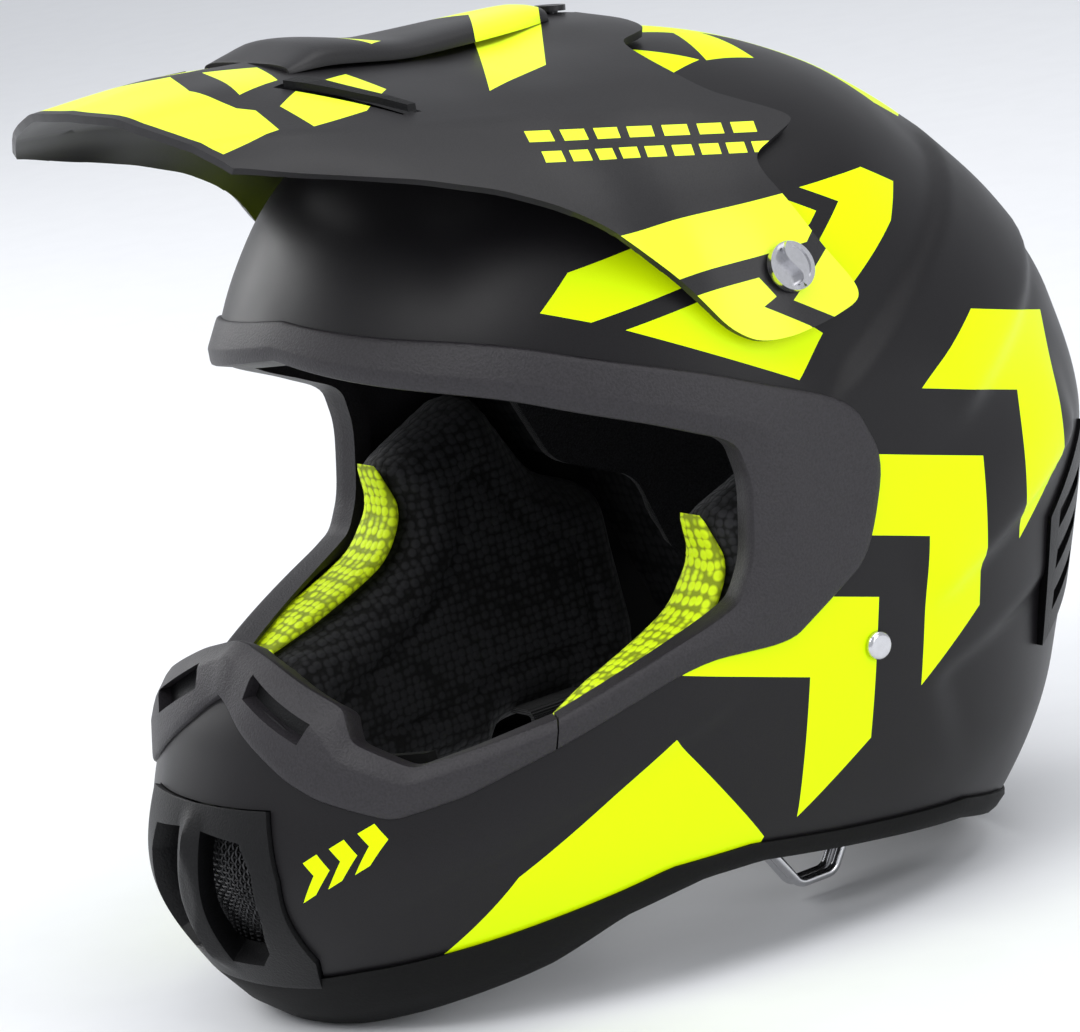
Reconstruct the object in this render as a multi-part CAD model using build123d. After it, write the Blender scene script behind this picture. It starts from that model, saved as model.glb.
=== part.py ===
from build123d import *
import math
import os
from functools import lru_cache

os.makedirs("parts", exist_ok=True)

# Motocross helmet, millimetres. +Z is up, the helmet faces -Y and +X is the wearer's left.
# The origin is under the middle of the helmet, on the plane that it rests on.

# ---------------------------------------------------------------- driving dimensions
MIDDLE_Y = 20.0              # widest section of the shell
ROUNDNESS = 2.15             # power of the superellipse of each horizontal section
HALF_WIDTH = 121.0
HALF_LENGTH = 151.0
WAIST_Z = 136.0              # height of the longest section
CROWN_Z = 283.0
SHELL_STATIONS = [           # height, front y, rear y, half width
    (-6, -131, 96, 70), (6, -147, 112, 85), (18, -158, 124, 98), (51, -171, 144, 113),
    (96, -156, 162, 119), (WAIST_Z, -130, 173.8, HALF_WIDTH), (171, -117, 166, HALF_WIDTH),
    (206, -108, 147, 116), (236, -92, 122, 103), (256, -72, 97, 86), (271, -42, 70, 62),
    (279, -12, 48, 38), (CROWN_Z, 13, 27, 10)]

SHELL_THICK = 3.5
FOAM_OUT = 4.2               # insets from the outside of the shell
FOAM_IN = 34.0
LINER_OUT = 34.5
LINER_IN = 41.0
CHEEK_FOAM_OUT = 9.8
CHEEK_FOAM_IN = 21.0
CHEEK_PAD_IN = 46.0
GAP = 0.4                    # clearance between neighbouring pieces

# side-view outlines, (y, z)
OPENING = [(-210, 217), (-112, 217), (-78, 209), (-30, 190), (15, 171), (24, 150), (13, 121),
           (-5, 110), (-17, 103), (-47, 104), (-92, 88), (-118, 79), (-136, 75), (-146, 85),
           (-151, 98), (-154, 109), (-210, 112)]
EYE_PORT = [(-210, 206), (-108, 204), (-98, 200), (-68, 188), (-24, 168), (-21, 156), (-26, 128),
            (-36, 117), (-90, 97), (-128, 89), (-138, 98), (-137, 109), (-137, 124), (-210, 126)]
NOSE_SPLIT_Y = -92.0
RIM = [(-210, 0), (-135, 0), (-94, 17), (-75, 28), (-50, 34), (-30, 34), (0, 29), (53, 21),
       (78, 13), (97, 0), (210, 0)]
TRIM_LIP = 13.0              # height of the rubber edge above the rim
TRIM_FLOOR = 5.0             # rubber under the edge of the shell

# peak: half sections across the helmet, from the ridge line out to the hem
PEAK_THICK = 2.6
PEAK_STATIONS = {            # y: (x, z) points
    -172: [(0, 297), (24, 296), (33, 294), (42, 291.5), (50, 289),
           (62, 283), (69, 277), (74, 266), (78, 250)],
    -126: [(0, 300.5), (24, 298), (37, 294), (49, 289.5), (60, 285),
           (70, 277), (76, 269), (82, 256), (86, 240)],
    -98: [(0, 299), (24, 296), (40, 291.5), (54, 286), (66, 280),
          (78, 271), (88, 261), (95, 246), (100, 225)],
    -58: [(0, 293), (24, 290), (42, 286), (59, 280.5), (73, 274),
          (90, 260), (104, 243), (111, 225), (116, 200)],
    -40: [(0, 290), (24, 288), (44, 284.5), (62, 279), (77, 271),
          (98, 252), (110, 234), (116.5, 214), (121, 190)],
    -20: [(0, 289.5), (22, 287.5), (44, 283.7), (64, 277), (81, 267),
          (103, 242), (111.5, 224), (117.5, 208), (122.5, 186)],
    5: [(0, 291), (20, 289), (44, 283.2), (67, 274.7), (87, 262.5),
        (107.2, 239), (115, 223.3), (120.8, 207.6), (125, 186)],
    20: [(0, 289.5), (20, 287.8), (44, 282.4), (67, 273.8), (90, 259),
         (107.1, 239), (115, 223.2), (120.7, 207.6), (125, 186)],
    38: [(0, 283.6), (20, 283), (44, 280), (67, 272), (92, 256),
         (107, 238.6), (114.8, 223), (120.4, 207.5), (124.8, 186)]}
PEAK_SIDE = [(-200, 282), (-150, 280), (-131, 274), (-98, 265), (-76, 257), (-61, 248), (-51, 235),
             (-43, 220), (-28, 203), (-14, 195), (3, 194), (24, 197), (29, 203), (21, 217),
             (15, 235), (11, 243), (13, 248), (35, 254), (30, 258), (14, 267), (8, 276), (8, 283),
             (28, 284), (28, 320), (-200, 320)]
PEAK_TIP_Y = -165.0
PEAK_CORNER = (66.0, -150.0)

# peak hinge and its fasteners
HINGE_Y = 5.0
HINGE_Z = 214.0
TURN_X = 116.5               # where the fastener's axis crosses the hinge axis
TURN_TILT = 20.0             # the fastener leans up by this much, square to the shell
TURN_SHANK_R = 2.5
TURN_HEAD_R = 7.8
CENTRE_SCREW_Y = 15.0
TONGUE_R = 77.0              # the tongue at the back of the peak is an arc about the hinge

# strap
STRAP_Y = 16.0
STRAP_WIDTH = 25.0
WEB = 2.0
RIVET_Z = 92.0
SLOT_Z = 50.0
RING_WIRE_R = 1.6
RING_Z = 27.0
RING_X = (62.0, 67.0)

# press studs between each cheek pad and its foam: depth from the middle, y, z
STUDS = [(72, -62, 62), (84, -6, 84), (84, 44, 62)]
STUD_NECK_R = 4.0
STUD_NECK = 5.0
STUD_FLANGE_R = 6.0
STUD_FLANGE = 2.0

# mouth vent, front-view outline (x, z)
MOUTH = [(-33, 79), (33, 79), (38, 58), (39, 30), (34, 20), (-34, 20), (-39, 30), (-38, 58)]
MOUTH_WINDOW = [(6, 72), (26, 70), (31, 58), (31, 44), (24, 31), (6, 30)]
FRONT_Y = -174.0


# ---------------------------------------------------------------- shared shapes
def shell_section(height, front, rear, half_width, inset):
    """One closed horizontal section, drawn in all round by inset."""
    if height > WAIST_Z:
        height = WAIST_Z + (height - WAIST_Z) * (1 - inset / (CROWN_Z - WAIST_Z))
    points = []
    for step in range(32):
        angle = 2 * math.pi * step / 32
        across, along = math.sin(angle), math.cos(angle)
        reach = (MIDDLE_Y - front) if along > 0 else (rear - MIDDLE_Y)
        x = half_width * (1 - inset / HALF_WIDTH) * math.copysign(abs(across) ** (2 / ROUNDNESS), across)
        y = reach * (1 - inset / HALF_LENGTH) * math.copysign(abs(along) ** (2 / ROUNDNESS), along)
        points.append((x, MIDDLE_Y - y, height))
    return Face(Wire([Spline(*points, periodic=True)]))


@lru_cache(maxsize=None)
def envelope(inset):
    """The helmet's outer volume, drawn in by inset."""
    return loft([shell_section(*station, inset) for station in SHELL_STATIONS])


@lru_cache(maxsize=None)
def layer(outside, inside):
    """The wall between two insets."""
    return envelope(outside) - envelope(inside)


def side_prism(outline, low_x=-200.0, high_x=200.0):
    """A side-view outline, (y, z), run across the helmet."""
    face = make_face(Polyline(*[(low_x, y, z) for y, z in outline], close=True))
    return extrude(face, amount=high_x - low_x, dir=(1, 0, 0))


def front_prism(outline, low_y, high_y):
    """A front-view outline, (x, z), run along the helmet."""
    face = make_face(Polyline(*[(x, low_y, z) for x, z in outline], close=True))
    return extrude(face, amount=high_y - low_y, dir=(0, 1, 0))


def block(low, high):
    size = [b - a for a, b in zip(low, high)]
    middle = [(a + b) / 2 for a, b in zip(low, high)]
    return Pos(*middle) * Box(*size)


def rod(centre, direction, radius, length):
    """A cylinder that starts at centre and runs along direction."""
    return Plane(origin=centre, z_dir=direction) * Cylinder(
        radius, length, align=(Align.CENTER, Align.CENTER, Align.MIN))


def raised(outline, rise):
    return [(y, z + rise) for y, z in outline]


def grown(outline, margin):
    """A side-view outline moved out by margin all round."""
    wire = Wire(Polyline(*[(y, z) for y, z in outline], close=True))
    moved = wire.offset_2d(margin, kind=Kind.INTERSECTION)
    return [(corner.X, corner.Y) for corner in moved.vertices()]


def lean(side):
    """Direction of a side fastener's axis."""
    tilt = math.radians(TURN_TILT)
    return (side * math.cos(tilt), 0, math.sin(tilt))


def along_fastener(side, distance):
    """A point on a side fastener's axis, counted out from the hinge axis."""
    x, y, z = lean(side)
    return (side * TURN_X + x * distance, HINGE_Y, HINGE_Z + z * distance)


# ---------------------------------------------------------------- shell and what is fixed to it
def outer_shell():
    shell = layer(0, SHELL_THICK) - side_prism(OPENING) - front_prism(MOUTH, -200, -120)
    below = raised(RIM, TRIM_FLOOR) + [(210, -40), (-210, -40)]
    shell -= side_prism(below)
    for side in (1, -1):
        pad = rod(along_fastener(side, -7.0), lean(side), 9.0, 4.2) - envelope(SHELL_THICK)
        shell += pad
        shell -= rod(along_fastener(side, -20), lean(side), 5.0, 40)
        shell -= rod((side * 130, STRAP_Y, RIVET_Z), (-side, 0, 0), 2.6, 40)
        shell -= rear_vent_cut(side, 0)
    shell -= rod(on_tongue_axis(-30), tongue_axis()[0], 4.5, 40)
    return shell


def rear_vent_cut(side, margin):
    """Prism through the flank behind the wearer's ear, where the air leaves."""
    outline = [(96 + margin, 66 + margin), (128 - margin, 78 + margin), (140 - margin, 130 - margin),
               (104 + margin, 108 - margin)]
    low, high = (20, 130) if side > 0 else (-130, -20)
    return side_prism(outline, low, high)


def rear_vent(side):
    frame = layer(-1.5, FOAM_OUT - 0.3) & rear_vent_cut(side, GAP)
    low, high = (20, 130) if side > 0 else (-130, -20)
    for step in range(3):
        rise = 13 * step
        slot = [(104 + 3 * step, 76 + rise), (126 + 3 * step, 84 + rise), (128 + 3 * step, 90 + rise),
                (106 + 3 * step, 82 + rise)]
        frame -= side_prism(slot, low, high)
    return frame


def eyeport_ring():
    return (layer(-2.0, 9.0) & side_prism(grown(OPENING, -GAP / 2))) - side_prism(EYE_PORT)


def nose_zone():
    return block((-200, -220, 60), (200, NOSE_SPLIT_Y, 150))


def eyeport_trim():
    return eyeport_ring() - nose_zone()


def nose_guard():
    guard = eyeport_ring() & block((-200, -220, 60), (200, NOSE_SPLIT_Y - GAP, 150))
    recess = [(15, 110), (17, 119), (50, 106), (43, 101)]
    for side in (1, -1):
        outline = [(side * x, z) for x, z in recess]
        guard -= front_prism(outline, -170, -100)
    return guard


def mouth_vent():
    face = front_prism([(x * 0.99, 50 + (z - 50) * 0.985) for x, z in MOUTH], -200, -120)
    housing = (layer(-3.4, 12) & face) & block((-60, FRONT_Y, 0), (60, 0, 100))
    for side in (1, -1):
        housing -= front_prism([(side * x, z) for x, z in MOUTH_WINDOW], -200, -100)
    return housing


def mouth_screen():
    outline = [(-32, 75), (32, 75), (35, 58), (34, 34), (28, 26), (-28, 26), (-34, 34), (-35, 58)]
    return layer(12.4, 13.6) & front_prism(outline, -200, -110)


def breath_deflector():
    outline = [(-46, 84), (46, 84), (52, 60), (50, 40), (-50, 40), (-52, 60)]
    return layer(31, 33) & front_prism(outline, -200, -90)


def base_trim():
    band = raised(RIM, TRIM_FLOOR + TRIM_LIP) + [(y, z) for y, z in reversed(RIM)]
    trim = layer(-2.2, 7.0) & side_prism(band)
    slot = layer(-0.1, SHELL_THICK + 0.1) & side_prism(raised(RIM, TRIM_FLOOR - 0.1) + [(210, 80), (-210, 80)])
    trim -= slot
    return trim - front_prism([(-36, 16), (36, 16), (42, 60), (-42, 60)], -200, -120)


# ---------------------------------------------------------------- inside the shell
CROWN_ZONE = [(-210, 222), (-112, 222), (-76, 214), (-28, 195), (22, 175), (42, 130), (70, 118),
              (84, 62), (210, 62), (210, 320), (-210, 320)]


def pockets(shape):
    """Room in the crown foam for the threaded inserts."""
    for side in (1, -1):
        shape -= rod(along_fastener(side, -30), lean(side), 7.0, 40)
    return shape - rod(on_tongue_axis(-24), tongue_axis()[0], 7.0, 40)


def crown_foam():
    return pockets(layer(FOAM_OUT, FOAM_IN) & side_prism(CROWN_ZONE))


def comfort_liner():
    inner = grown(CROWN_ZONE, -3)
    return layer(LINER_OUT, LINER_IN) & side_prism(inner)


CHEEK_ZONE = [(-27, 142), (-21, 126), (-30, 112), (-48, 103), (-86, 90), (-94, 66), (-88, 42),
              (-40, 39), (-4, 37), (-2, 45), (34, 45), (36, 37), (54, 41), (62, 60), (60, 114),
              (36, 124), (16, 160)]
CHEEK_FOAM_ZONE = [(-12, 138), (-6, 124), (-20, 98), (-72, 80), (-76, 58), (-2, 56), (46, 56),
                   (48, 108), (28, 116), (6, 146)]


def strap_slot(side):
    """Way out for the webbing, through the cheek foam and its pad."""
    low, high = sorted((side * 56, side * 118))
    return block((low, STRAP_Y - STRAP_WIDTH / 2 - 1, SLOT_Z - 3), (high, STRAP_Y + STRAP_WIDTH / 2 + 1, SLOT_Z + 3))


def half_space(side):
    low, high = sorted((side * 58, side * 200))
    return block((low, -220, -10), (high, 220, 320))


def cheek_foam(side):
    shape = layer(CHEEK_FOAM_OUT, CHEEK_FOAM_IN) & side_prism(CHEEK_FOAM_ZONE) & half_space(side)
    return shape - strap_slot(side) - stud_room(side)


def insert_band(margin):
    """Side-view outline of the mesh insert on the pad's front edge."""
    outer = [(-27 - margin, 144), (-20 - margin, 126), (-30 - margin, 113 + margin), (-48, 105 + margin),
             (-84, 92 + margin)]
    inner = [(-85, 86), (-47, 98.5), (-26, 107.5), (-15, 125), (-22, 143)]
    return outer + inner


def cheek_pad(side):
    """Foam pad that wraps round the edges of the harder cheek foam behind it."""
    shape = layer(CHEEK_FOAM_OUT, CHEEK_PAD_IN) & side_prism(CHEEK_ZONE) & half_space(side)
    shape -= layer(CHEEK_FOAM_OUT - 3, CHEEK_FOAM_IN + GAP) & side_prism(grown(CHEEK_FOAM_ZONE, GAP))
    low, high = sorted((side * 77, side * 115))
    shape -= side_prism(grown(insert_band(4), 0.3), low, high)
    return shape - strap_slot(side) - stud_room(side)


def cheek_insert(side):
    low, high = sorted((side * 77.5, side * 112))
    return side_prism(insert_band(1.5), low, high) & layer(CHEEK_FOAM_OUT + 0.4, CHEEK_PAD_IN + 5)


def neck_roll():
    zone = [(66, 20), (210, 8), (210, 58), (86, 58), (66, 54)]
    return layer(7.6, 40) & side_prism(zone) & block((-200, 66, 10), (200, 200, 70))


def chin_foam():
    zone = [(-210, 34), (-98, 34), (-98, 80), (-130, 86), (-210, 92)]
    foam = layer(14.2, 30.5) & side_prism(zone) & block((-57, -210, 0), (57, -98, 120))
    return foam - block((-24, -200, 42), (24, -90, 70))


def liner_snaps():
    """Press studs that hold each cheek pad to its foam."""
    studs = []
    for side in (1, -1):
        for reach, y, z in STUDS:
            neck = rod((side * reach, y, z), (side, 0, 0), STUD_NECK_R, STUD_NECK)
            flange = rod((side * (reach + STUD_NECK), y, z), (side, 0, 0), STUD_FLANGE_R, STUD_FLANGE)
            studs.append(neck + flange)
    return studs


def stud_room(side):
    room = None
    for reach, y, z in STUDS:
        depth = STUD_NECK + STUD_FLANGE + 2 * GAP
        hole = rod((side * (reach - GAP), y, z), (side, 0, 0), STUD_FLANGE_R + GAP, depth)
        room = hole if room is None else room + hole
    return room


# ---------------------------------------------------------------- fasteners
def threaded_inserts():
    parts = []
    for side in (1, -1):
        start = along_fastener(side, -15)
        barrel = rod(start, lean(side), 4.9, 11.5) - rod(start, lean(side), TURN_SHANK_R + 0.1, 30)
        parts.append(barrel)
    axis, start = tongue_axis()[0], on_tongue_axis(-19)
    parts.append(rod(start, axis, 4.4, 14.5) - rod(start, axis, TURN_SHANK_R + 0.1, 30))
    return parts


def side_fastener(side):
    """Finger-turned fastener: shank, dished head and a raised S-shaped ridge."""
    axis = lean(side)
    head = rod(along_fastener(side, 3.0), axis, TURN_HEAD_R, 2.4)
    head -= rod(along_fastener(side, 4.8), axis, TURN_HEAD_R - 1.4, 3)
    shank = rod(along_fastener(side, -14), axis, TURN_SHANK_R, 17.2)
    face = Plane(origin=along_fastener(side, 4.6), x_dir=(0, 1, 0), z_dir=axis)
    swing = TURN_HEAD_R - 1.2
    line = Spline((0, -swing), (1.6, -swing / 2), (0, 0), (-1.6, swing / 2), (0, swing))
    ridge = extrude(face * trace(line, 2.0), amount=3.2, dir=axis)
    return head + shank + ridge


def tongue_axis():
    """Axis of the centre screw, square to the tongue's arc, and the point where it meets the arc."""
    lean_back = math.asin((CENTRE_SCREW_Y - HINGE_Y) / TONGUE_R)
    direction = (0, math.sin(lean_back), math.cos(lean_back))
    return direction, (0, CENTRE_SCREW_Y, HINGE_Z + TONGUE_R * math.cos(lean_back))


def on_tongue_axis(distance):
    (x, y, z), (px, py, pz) = tongue_axis()
    return (px + x * distance, py + y * distance, pz + z * distance)


def centre_screw():
    axis = tongue_axis()[0]
    head = rod(on_tongue_axis(0.5), axis, 5.0, 1.8)
    head -= Plane(origin=on_tongue_axis(2.3), z_dir=axis) * Box(7, 1.2, 1.6)
    return head + rod(on_tongue_axis(-18), axis, TURN_SHANK_R, 18.7)


def strap_rivets():
    rivets = []
    for side in (1, -1):
        shell_x = 119.0
        dome = rod((side * (shell_x + 0.2), STRAP_Y, RIVET_Z), (side, 0, 0), 4.6, 1.9)
        dome = fillet([
            edge for edge in dome.edges().filter_by(GeomType.CIRCLE) if abs(edge.center().X) > shell_x + 1], 1.6)
        rivets.append(dome + rod((side * (shell_x - 8.6), STRAP_Y, RIVET_Z), (side, 0, 0), 2.4, 9))
    return rivets


def strap_anchors():
    plates = []
    for side in (1, -1):
        low, high = sorted((side * 110.2, side * 111.6))
        plate = block((low, STRAP_Y - 13, RIVET_Z - 12), (high, STRAP_Y + 13, RIVET_Z + 9))
        plate -= rod((side * 100, STRAP_Y, RIVET_Z), (side, 0, 0), 2.5, 30)
        plates.append(plate)
    return plates


# ---------------------------------------------------------------- strap
def webbing(side, route):
    """Flat webbing whose edge-on route, (x, z), runs in the cross section of the helmet."""
    path = FilletPolyline(*[(side * x, z) for x, z in route], radius=2.6)
    band = Plane.XZ.offset(-(STRAP_Y + STRAP_WIDTH / 2)) * trace(path, WEB)
    return extrude(band, amount=STRAP_WIDTH, dir=(0, -1, 0))


def strap_left():
    middle = sum(RING_X) / 2
    route = [(111.5, 79.5), (107.0, 58), (105.5, SLOT_Z), (middle, SLOT_Z), (middle, RING_Z + 3)]
    strap = webbing(1, route)
    half_gap = (RING_X[1] - RING_X[0]) / 2
    loop = Pos(middle, STRAP_Y, RING_Z) * Rot(90, 0, 0) * (
        extrude(SlotCenterToCenter(2 * half_gap, 2 * (RING_WIRE_R + 0.4 + WEB)), amount=STRAP_WIDTH / 2, both=True)
        - extrude(SlotCenterToCenter(2 * half_gap, 2 * (RING_WIRE_R + 0.4)), amount=STRAP_WIDTH, both=True))
    return strap + loop


def strap_right():
    route = [(111.5, 79.5), (107.0, 58), (105.5, SLOT_Z), (64, SLOT_Z), (64, 22), (57.5, 22), (57.5, 46),
             (51, 46), (51, 24)]
    return webbing(-1, route)


def d_ring(x):
    """One strap ring: a straight bar in the webbing's loop and a rounded bow hanging from it."""
    half = STRAP_WIDTH / 2 + 2.6
    bar = Line((-half, 0), (half, 0))
    bow = FilletPolyline((half, 0), (half, -7), (half - 8, -19), (-half + 8, -19), (-half, -7), (-half, 0), radius=5)
    path = Wire([*bar.edges(), *bow.edges()])
    place = Plane(origin=(x, STRAP_Y, RING_Z), x_dir=(0, 1, 0), z_dir=(1, 0, 0))
    path = place * path
    start = Plane(origin=(x, STRAP_Y, RING_Z), x_dir=(0, 0, 1), z_dir=(0, 1, 0))
    return sweep(start * Circle(RING_WIRE_R), path=path, transition=Transition.ROUND)


def strap_snap():
    """Press stud that keeps the folded strap end together."""
    return [rod((-49.6, STRAP_Y, 34), (1, 0, 0), 6.0, 2.0), rod((-56.1, STRAP_Y, 34), (1, 0, 0), 6.0, 1.8)]


# ---------------------------------------------------------------- peak
def inner_line(points):
    """The same half section, one plate thickness further in."""
    moved = []
    for index, (x, z) in enumerate(points):
        before = points[max(index - 1, 0)]
        after = points[min(index + 1, len(points) - 1)]
        run, drop = after[0] - before[0], after[1] - before[1]
        length = math.hypot(run, drop)
        moved.append((x + PEAK_THICK * drop / length if index else 0, z - PEAK_THICK * run / length))
    return moved


def peak_volume(change):
    faces = []
    for y, points in PEAK_STATIONS.items():
        half = change(points)
        outline = half + [(half[-1][0], 150), (-half[-1][0], 150)] + [(-x, z) for x, z in reversed(half[1:])]
        faces.append(make_face(Polyline(*[(x, y, z) for x, z in outline], close=True)))
    return loft(faces, ruled=True)


def peak():
    plate = peak_volume(lambda points: points) - peak_volume(inner_line)
    plate &= side_prism(PEAK_SIDE)
    corner_x, corner_y = PEAK_CORNER
    nose = ThreePointArc((-corner_x, corner_y), (0, PEAK_TIP_Y), (corner_x, corner_y))
    back = Polyline((corner_x, corner_y), (150, -60), (150, 60), (-150, 60), (-150, -60), (-corner_x, corner_y))
    plate &= extrude(make_face([nose, back]), amount=400)
    for side in (1, -1):
        plate -= rod(along_fastener(side, -20), lean(side), TURN_SHANK_R + 1.0, 40)
        slot = [(side * x, y) for x, y in ((34, -110), (62, -84), (62, -78), (30, -100))]
        plate -= Pos(0, 0, 260) * extrude(make_face(Polyline(*slot, close=True)), amount=60)
    travel = Pos(0, CENTRE_SCREW_Y + 1.4) * Rot(0, 0, 90) * SlotCenterToCenter(10.8, 6.2)
    return plate - extrude(travel, amount=400)


def peak_scoop():
    """Raised air scoop along the middle of the peak, open at both ends."""
    def hood(wall):
        faces = []
        for y, half, foot, top in ((-100, 25, 296.4, 300.0), (-86, 25, 294.9, 303.0), (-50, 22, 290.2, 296.5),
                                   (-8, 16, 289.2, 296.0), (5.5, 13, 289.4, 294.4)):
            low = foot - (3 if wall else 0)
            outline = [(-half + wall, low), (-half * 0.7 + wall, top - wall), (half * 0.7 - wall, top - wall),
                       (half - wall, low)]
            faces.append(make_face(Polyline(*[(x, y, z) for x, z in outline], close=True)))
        return loft(faces, ruled=True)
    return (hood(0) - hood(1.8)) - peak_volume(lambda points: [(x, z + 0.2) for x, z in points])


def peak_vent_bars():
    """Lips in the two intake slots of the peak."""
    bars = []
    for side in (1, -1):
        outline = [(side * x, y) for x, y in ((34.6, -108.6), (61.4, -83.4), (61.4, -80.4), (33.4, -102.0))]
        lip = Pos(0, 0, 262) * extrude(make_face(Polyline(*outline, close=True)), amount=60)
        bars.append(lip & (peak_volume(lambda points: [(x, z + 2.5) for x, z in points])
                           - peak_volume(lambda points: [(x, z + 0.3) for x, z in points])))
    return bars


# ---------------------------------------------------------------- assembly
NODES = {
    "outer_shell": outer_shell,
    "eyeport_trim": eyeport_trim,
    "nose_guard": nose_guard,
    "mouth_vent": mouth_vent,
    "mouth_screen": mouth_screen,
    "breath_deflector": breath_deflector,
    "base_trim": base_trim,
    "rear_vent_left": lambda: rear_vent(1),
    "rear_vent_right": lambda: rear_vent(-1),
    "crown_foam": crown_foam,
    "chin_foam": chin_foam,
    "comfort_liner": comfort_liner,
    "neck_roll": neck_roll,
    "cheek_foam_left": lambda: cheek_foam(1),
    "cheek_foam_right": lambda: cheek_foam(-1),
    "cheek_pad_left": lambda: cheek_pad(1),
    "cheek_pad_right": lambda: cheek_pad(-1),
    "cheek_insert_left": lambda: cheek_insert(1),
    "cheek_insert_right": lambda: cheek_insert(-1),
    "liner_snaps": liner_snaps,
    "threaded_inserts": threaded_inserts,
    "side_fastener_left": lambda: side_fastener(1),
    "side_fastener_right": lambda: side_fastener(-1),
    "centre_screw": centre_screw,
    "strap_rivets": strap_rivets,
    "strap_anchors": strap_anchors,
    "strap_left": strap_left,
    "strap_right": strap_right,
    "strap_snap": strap_snap,
    "d_ring_inner": lambda: d_ring(RING_X[0]),
    "d_ring_outer": lambda: d_ring(RING_X[1]),
    "peak": peak,
    "peak_scoop": peak_scoop,
    "peak_vent_bars": peak_vent_bars,
}

def main():
    for name, make in NODES.items():
        shape = make()
        solids = []
        for item in (shape if isinstance(shape, list) else [shape]):
            solids += item.solids()
        export_step(Compound(children=solids) if len(solids) > 1 else solids[0], f"parts/{name}.step")
        print(name, len(solids), round(sum(solid.volume for solid in solids) / 1000, 1), "cm3")


if __name__ == "__main__":
    main()
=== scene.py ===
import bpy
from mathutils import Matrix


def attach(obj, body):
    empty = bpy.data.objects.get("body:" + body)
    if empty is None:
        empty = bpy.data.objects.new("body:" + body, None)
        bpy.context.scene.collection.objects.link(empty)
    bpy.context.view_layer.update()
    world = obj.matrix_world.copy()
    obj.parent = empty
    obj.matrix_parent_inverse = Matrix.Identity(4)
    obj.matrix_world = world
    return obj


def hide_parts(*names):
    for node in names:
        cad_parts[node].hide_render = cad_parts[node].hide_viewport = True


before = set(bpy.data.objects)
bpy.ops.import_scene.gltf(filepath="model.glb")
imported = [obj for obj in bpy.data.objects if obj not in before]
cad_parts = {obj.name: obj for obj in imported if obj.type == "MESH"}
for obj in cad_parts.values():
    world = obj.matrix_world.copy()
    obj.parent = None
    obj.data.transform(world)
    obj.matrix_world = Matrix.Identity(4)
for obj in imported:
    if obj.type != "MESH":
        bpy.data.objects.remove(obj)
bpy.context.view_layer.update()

import math

import bmesh
import bpy
import numpy as np
from mathutils import Matrix, Vector

MM = 0.001

# ------------------------------------------------------------------ the helmet's form, in mm
# height, front y, rear y and half width of the shell's horizontal sections
STATIONS = np.array([
    (-6, -131, 96, 70), (6, -147, 112, 85), (18, -158, 124, 98), (51, -171, 144, 113), (96, -156, 162, 119),
    (136, -130, 173.8, 121), (171, -117, 166, 121), (206, -108, 147, 116), (236, -92, 122, 103),
    (256, -72, 97, 86), (271, -42, 70, 62), (279, -12, 48, 38), (283, 13, 27, 10)], float)
MIDDLE_Y = 20.0              # where a section is widest
POWER = 2.15                 # how square a section is: 2 is an ellipse
HALF_WIDTH, HALF_LENGTH, WAIST_Z, CROWN_Z = 121.0, 151.0, 136.0, 283.0
HINGE_Y, HINGE_Z = 5.0, 214.0

# side-view outlines, (y, z); 210 lies beyond both ends of the helmet
OPENING = [(-210, 217), (-112, 217), (-78, 209), (-30, 190), (15, 171), (24, 150), (13, 121), (-5, 110),
           (-17, 103), (-47, 104), (-92, 88), (-118, 79), (-136, 75), (-146, 85), (-147.5, 98), (-148, 110),
           (-210, 113)]
# the shell's lower edge, and the top of the rubber edge that covers it
RIM = [(-210, 0), (-135, 0), (-94, 17), (-75, 28), (-50, 34), (-30, 34), (0, 29), (53, 21), (78, 13),
       (97, 0), (210, 0)]
LIP = [(-210, 17), (-150, 17), (-127, 25), (-94, 33), (-60, 41), (-33, 41), (0, 35.5), (53, 28), (78, 20),
       (97, 10), (210, 10)]
TRIM_FLOOR = 5.0             # height of the shell's cut edge above RIM
# places of the comfort liner and of a cheek pad
CROWN_ZONE = [(-210, 219), (-112, 219), (-77, 211), (-30, 192), (20, 173), (40, 128), (68, 116), (82, 65),
              (210, 65), (210, 320), (-210, 320)]
CHEEK_ZONE = [(-27, 142), (-21, 126), (-30, 112), (-48, 103), (-86, 90), (-94, 66), (-88, 42), (-40, 39),
              (-4, 37), (-2, 45), (34, 45), (36, 37), (54, 41), (62, 60), (60, 114), (36, 124), (16, 160)]
# front-view outline of the hole in the chin bar, (x, z)
MOUTH = [(-33, 79), (33, 79), (38, 58), (39, 30), (34, 20), (-34, 20), (-39, 30), (-38, 58)]


# the two axes that each view's outlines are drawn in
SIDE, TOP, FRONT = (1, 2), (0, 1), (0, 2)
SPARE = 0.5                  # how far past its end points a smooth curve may be read, in intervals


def smooth(xs, ys):
    """Smooth curve through points that never overshoots them."""
    xs, ys = np.asarray(xs, float), np.asarray(ys, float)
    step = np.diff(xs)
    rise = np.diff(ys) / step
    slope = np.concatenate([[rise[0]], np.zeros(len(xs) - 2), [rise[-1]]])
    same = rise[:-1] * rise[1:] > 0
    safe = np.where(same, rise[:-1] + rise[1:], 1.0)
    slope[1:-1] = np.where(same, 2 * rise[:-1] * rise[1:] / safe, 0)

    def at(x):
        x = np.asarray(x, float)
        i = np.clip(np.searchsorted(xs, x) - 1, 0, len(xs) - 2)
        t = np.clip((x - xs[i]) / step[i], -SPARE, 1 + SPARE)
        a, b = ys[i], ys[i + 1]
        return (a * (1 + 2 * t) * (1 - t) ** 2 + slope[i] * step[i] * t * (1 - t) ** 2
                + b * t ** 2 * (3 - 2 * t) - slope[i + 1] * step[i] * t ** 2 * (1 - t))
    return at


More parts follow.
